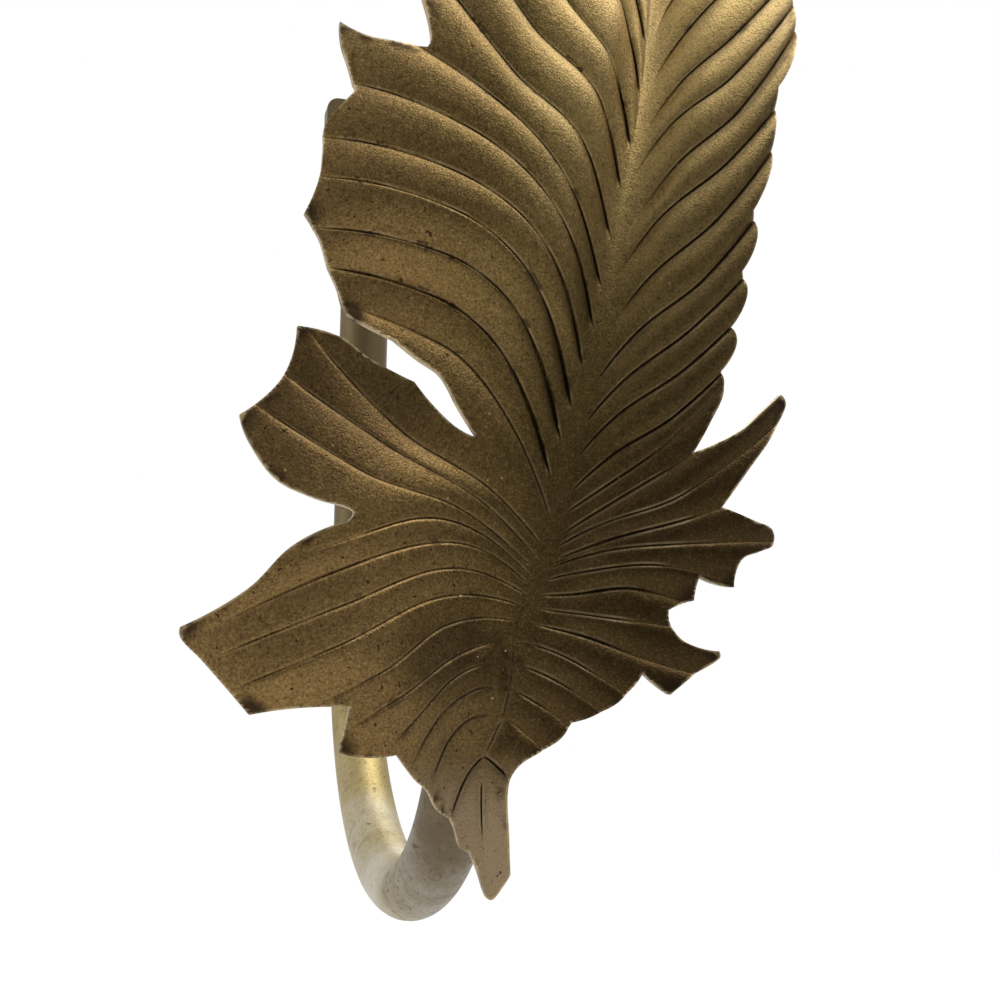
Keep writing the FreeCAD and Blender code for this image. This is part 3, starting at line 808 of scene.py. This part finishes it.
def thicken(build, thickness):
    """Gives the open sheet its back, filed flat where the bar's seat is"""
    grown = bmesh.ops.extrude_face_region(build, geom=list(build.faces), use_keep_orig=True)
    back = [g for g in grown["geom"] if isinstance(g, bmesh.types.BMVert)]
    bmesh.ops.translate(build, verts=back, vec=(0, thickness, 0))
    for v in back:
        if abs(v.co.x) < SEAT_HALF * MM and SEAT_LOW < v.co.z / MM + HOOK_DROP < SEAT_HIGH:
            v.co.y = min(v.co.y, -SEAT_DEPTH * MM)
    bmesh.ops.recalc_face_normals(build, faces=build.faces)


def rim_blank(run):
    """A thick plate with the outline of the rim, which the pressed sheet is trimmed to"""
    reach = 100 * MM
    build = bmesh.new()
    face = build.faces.new([build.verts.new(placed(p.x, p.y, BOW_RADIUS)) for p in run])
    grown = bmesh.ops.extrude_face_region(build, geom=[face], use_keep_orig=True)
    front = [g for g in grown["geom"] if isinstance(g, bmesh.types.BMVert)]
    bmesh.ops.translate(build, verts=front, vec=(0, -reach, 0))
    bmesh.ops.recalc_face_normals(build, faces=build.faces)
    return new_object("leaf_blank", build)


def trimmed(leaf, blank, context):
    """The mesh of the leaf inside the blank, smooth but for its sharp edges"""
    fewest = 1000
    sliver = 0.005 * MM
    sharp = radians(50)
    trim = leaf.modifiers.new("rim", "BOOLEAN")
    trim.operation = "INTERSECT"
    trim.solver = "EXACT"
    trim.object = blank
    context.view_layer.update()
    depsgraph = context.evaluated_depsgraph_get()
    mesh = bpy.data.meshes.new_from_object(leaf.evaluated_get(depsgraph))
    leaf.modifiers.clear()
    if len(mesh.vertices) < fewest:
        raise RuntimeError("the leaf was not trimmed to its rim")
    clean = bmesh.new()
    clean.from_mesh(mesh)
    bmesh.ops.dissolve_degenerate(clean, dist=sliver, edges=clean.edges)
    for f in clean.faces:
        f.smooth = True
        f.material_index = 0
    clean.to_mesh(mesh)
    clean.free()
    mesh.set_sharp_from_angle(angle=sharp)
    return mesh


def chased_points(rim):
    """Points along every chased line, each with how strongly it is chased there"""
    steps = 50
    spine_steps = 12
    points = []
    for side in (LEFT, RIGHT):
        for run, strength in veins(side, rim, steps):
            points.extend((p.x, p.y, ink) for p, ink in zip(run, strength))
    for low, high in zip(CHASED_SPINE[:-1], CHASED_SPINE[1:]):
        for i in range(spine_steps):
            points.append((*Vector(low).lerp(Vector(high), i / spine_steps), SPINE_STRENGTH))
    return points


def rim_tips():
    """The corners of the rim that point outwards"""
    least_turn = 0.5
    tips = []
    for before, after in zip(RIM, RIM[1:] + RIM[:1]):
        come = Vector(before[-1]) - Vector(before[-2])
        go = Vector(after[1]) - Vector(after[0])
        if come.cross(go) > least_turn * come.length * go.length:
            tips.append(after[0])
    return tips


def measure(mesh, name, points, weight_name=None):
    """Writes each vertex's distance from the nearest drawn point, and that point's own weight"""
    tree = nearest(points)
    found = [tree.find((v.co.x / MM, v.co.z / MM + HOOK_DROP, 0)) for v in mesh.vertices]
    layer = mesh.attributes.new(name, "FLOAT", "POINT")
    layer.data.foreach_set("value", [distance for place, i, distance in found])
    if weight_name:
        layer = mesh.attributes.new(weight_name, "FLOAT", "POINT")
        layer.data.foreach_set("value", [points[i][2] for place, i, distance in found])


class HOLDBACK_OT_leaf(bpy.types.Operator):
    """Press the ribbed leaf, trim it to its rim and give it its aged brass"""

    bl_idname = "holdback.leaf"
    bl_label = "Make Leaf"

    def execute(self, context):
        settings = context.scene.holdback_leaf
        run = [p for stretch in RIM for p in run_through(stretch)]
        rim = nearest(run)
        build = rib_sheet(settings, rim)
        thicken(build, settings.sheet)
        leaf = new_object("leaf_chased", build)
        blank = rim_blank(run)
        mesh = trimmed(leaf, blank, context)
        bpy.data.objects.remove(blank)
        measure(mesh, "groove", chased_points(rim), "ink")
        measure(mesh, "rim", run)
        measure(mesh, "midrib", run_through(SPINE))
        measure(mesh, "tip", rim_tips())
        mesh.materials.clear()
        mesh.materials.append(AgedBrass(settings).material)
        leaf.data = mesh
        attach(leaf, "root")
        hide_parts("leaf")
        return {"FINISHED"}


class HOLDBACK_OT_arm(bpy.types.Operator):
    """Give the bent bar its satin brass"""

    bl_idname = "holdback.arm"
    bl_label = "Finish Arm"

    def execute(self, context):
        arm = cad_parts["arm"]
        arm.data.materials.clear()
        arm.data.materials.append(SatinBrass(context.scene.holdback_arm).material)
        return {"FINISHED"}


class HOLDBACK_OT_stage(bpy.types.Operator):
    """Set the pale floor, the soft light and the camera"""

    bl_idname = "holdback.stage"
    bl_label = "Set Stage"

    def execute(self, context):
        scene = context.scene
        settings = scene.holdback_stage
        self.lay_floor(settings)
        self.hang_lamps(scene)
        scene.world = self.studio(settings)
        scene.camera = self.camera(scene, settings)
        scene.view_settings.view_transform = "Standard"
        return {"FINISHED"}

    def lay_floor(self, settings):
        """A pale floor that fades to white away from the holdback, and still takes its shadow"""
        build = bmesh.new()
        bmesh.ops.create_grid(build, x_segments=1, y_segments=1, size=FLOOR_HALF)
        low = CAD_BOX[0][2] - settings.floor_drop
        bmesh.ops.translate(build, verts=build.verts, vec=(0, 0, low))
        floor = new_object("floor", build)
        pale = Finish("floor_pale")
        pale.set(base_color=settings.floor_colour, roughness=0.9)
        path = pale.node("ShaderNodeLightPath")
        kinds = ("Is Camera Ray", "Is Glossy Ray", "Is Transmission Ray")
        straight, glossy, passing = [Value(pale, path.outputs[kind]) for kind in kinds]
        seen = straight.most(glossy).most(passing)
        length = pale.node("ShaderNodeVectorMath", {"operation": "LENGTH"}, {0: pale.place})
        far = Value(pale, length.outputs["Value"]).ramp(0.25, 0.9)
        white = pale.node("ShaderNodeEmission", None, {"Color": (1, 1, 1), "Strength": 1.0})
        blend = pale.node("ShaderNodeMixShader", None, {0: seen * (far * 0.4 + 0.6)})
        pale.feed(blend.inputs[1], pale.shader.outputs["BSDF"])
        pale.feed(blend.inputs[2], white.outputs["Emission"])
        pale.feed(pale.tree.nodes["Material Output"].inputs["Surface"], blend.outputs["Shader"])
        floor.data.materials.append(pale.material)

    def hang_lamps(self, scene):
        """Soft square lamps, all facing the holdback"""
        for name, place, wide, power in LAMPS:
            light = bpy.data.lights.new(name, "AREA")
            light.energy = power
            light.size = wide
            lamp = bpy.data.objects.new(name, light)
            turn = (Vector(LAMP_AIM) - Vector(place)).to_track_quat("-Z", "Y").to_matrix().to_4x4()
            lamp.matrix_world = Matrix.Translation(place) @ turn
            scene.collection.objects.link(lamp)

    def studio(self, settings):
        """A world that is white behind, above and to the left, dimmer in front, and white to the camera"""
        world = bpy.data.worlds.new("studio")
        world.use_nodes = True
        room = Nodes(world.node_tree)
        toward = room.node("ShaderNodeTexCoord").outputs["Generated"]
        apart = room.node("ShaderNodeSeparateXYZ", None, {"Vector": toward})
        aside, depth, lift = [Value(room, apart.outputs[letter]) for letter in "XYZ"]
        soft = (depth + lift * 0.35 - aside * 0.35).ramp(-0.7, 0.4)
        soft = soft * (1.0 - settings.room_light) + settings.room_light
        seen = Value(room, room.node("ShaderNodeLightPath").outputs["Is Camera Ray"])
        shell = room.tree.nodes["Background"]
        room.feed(shell.inputs["Color"], (1, 1, 1))
        room.feed(shell.inputs["Strength"], soft.most(seen))
        return world

    def camera(self, scene, settings):
        """The camera, level with the lower part of the leaf and a little to its left"""
        lens = bpy.data.cameras.new("camera")
        lens.lens = settings.lens
        lens.sensor_width = PICTURE_WIDTH
        camera = bpy.data.objects.new("camera", lens)
        ahead = Vector(CAMERA_AHEAD).normalized()
        right = Vector(CAMERA_RIGHT).normalized()
        up = right.cross(ahead).normalized()
        turn = Matrix((right, up, -ahead)).transposed().to_4x4()
        camera.matrix_world = Matrix.Translation(CAMERA_PLACE) @ turn
        scene.collection.objects.link(camera)
        return camera


class HOLDBACK_PT_panel(bpy.types.Panel):
    """Lists the holdback's pieces and settings"""

    bl_idname = "HOLDBACK_PT_panel"
    bl_label = "Curtain Holdback"
    bl_space_type = "VIEW_3D"
    bl_region_type = "UI"
    bl_category = "Holdback"

    def draw(self, context):
        scene = context.scene
        groups = (
            (HOLDBACK_OT_leaf, scene.holdback_leaf),
            (HOLDBACK_OT_arm, scene.holdback_arm),
            (HOLDBACK_OT_stage, scene.holdback_stage),
        )
        for operator, settings in groups:
            column = self.layout.box().column()
            for name in settings.__annotations__:
                column.prop(settings, name)
            column.operator(operator.bl_idname)


CLASSES = (
    LeafSettings,
    ArmSettings,
    StageSettings,
    HOLDBACK_OT_leaf,
    HOLDBACK_OT_arm,
    HOLDBACK_OT_stage,
    HOLDBACK_PT_panel,
)


def register():
    for item in CLASSES:
        bpy.utils.register_class(item)
    bpy.types.Scene.holdback_leaf = PointerProperty(type=LeafSettings)
    bpy.types.Scene.holdback_arm = PointerProperty(type=ArmSettings)
    bpy.types.Scene.holdback_stage = PointerProperty(type=StageSettings)


def unregister():
    del bpy.types.Scene.holdback_stage
    del bpy.types.Scene.holdback_arm
    del bpy.types.Scene.holdback_leaf
    for item in reversed(CLASSES):
        bpy.utils.unregister_class(item)


def main():
    register()
    bpy.ops.holdback.leaf()
    bpy.ops.holdback.arm()
    bpy.ops.holdback.stage()


if __name__ == "__main__":
    main()
